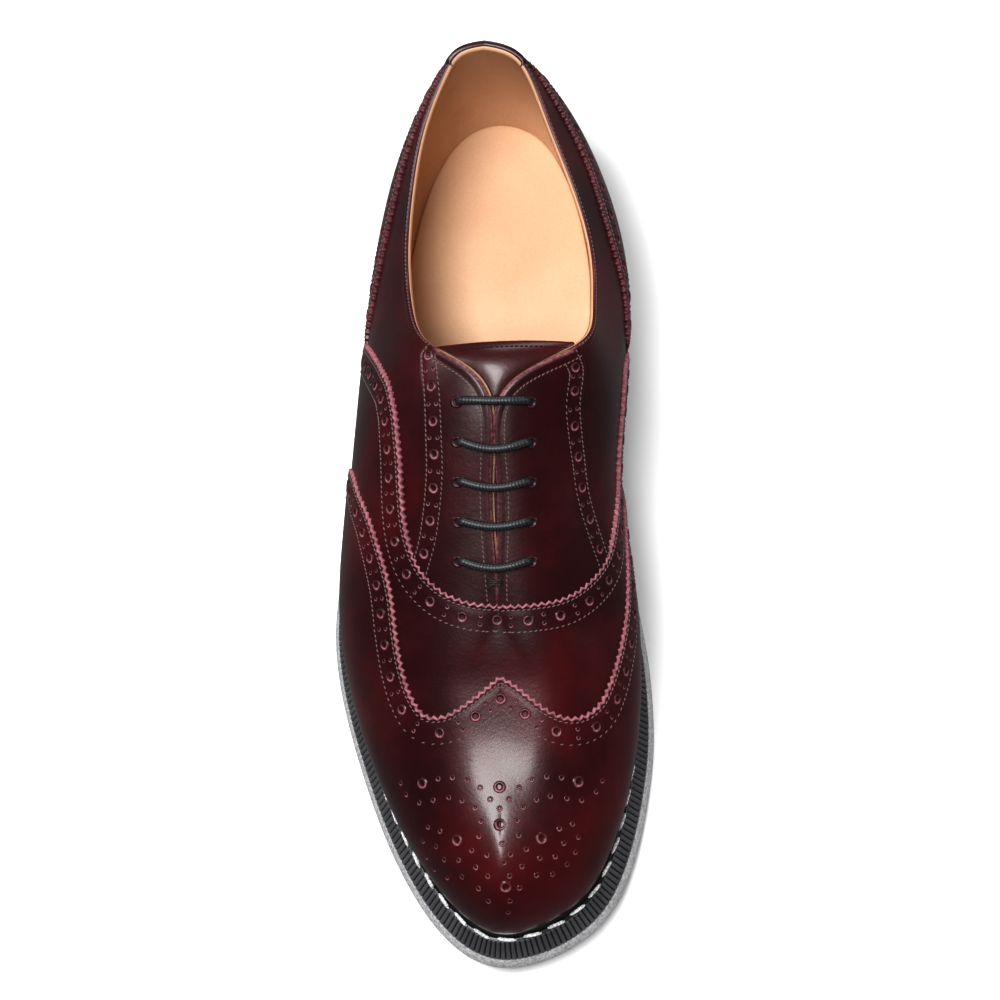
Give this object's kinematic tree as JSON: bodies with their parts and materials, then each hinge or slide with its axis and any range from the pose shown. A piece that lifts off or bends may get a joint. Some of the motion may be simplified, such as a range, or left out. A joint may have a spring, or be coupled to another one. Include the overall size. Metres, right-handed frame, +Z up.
{
  "type": "wingtip brogue shoe",
  "caption": "Right full-brogue wingtip Oxford in glossy oxblood leather with closed lacing, a black welt and a ribbed grey rubber sole with a low heel.",
  "frame": {"origin": "centre of the shoe's box seen from above, on the floor that the sole stands on", "axes": "+Z up; -Y from the heel to the toe; +X to the medial side, which faces the wearer's other foot"},
  "size_m": [0.1106, 0.305, 0.1071],
  "materials": {
    "oxblood_leather": "gloss",
    "grey_sole": "satin",
    "black_welt": "satin",
    "natural_leather": "matte",
    "waxed_cord": "satin"
  },
  "bodies": {
    "root": {"outsole": "grey_sole", "welt": "black_welt", "upper": "oxblood_leather", "insole": "natural_leather", "tongue": "oxblood_leather", "vamp": "oxblood_leather", "wing_cap": "oxblood_leather", "heel_counter": "oxblood_leather", "heel_tab": "oxblood_leather", "facing_lateral": "oxblood_leather", "facing_medial": "oxblood_leather", "lace_bar_1": "waxed_cord", "lace_bar_2": "waxed_cord", "lace_bar_3": "waxed_cord", "lace_bar_4": "waxed_cord", "lace_bar_5": "waxed_cord"}
  },
  "joints": []
}
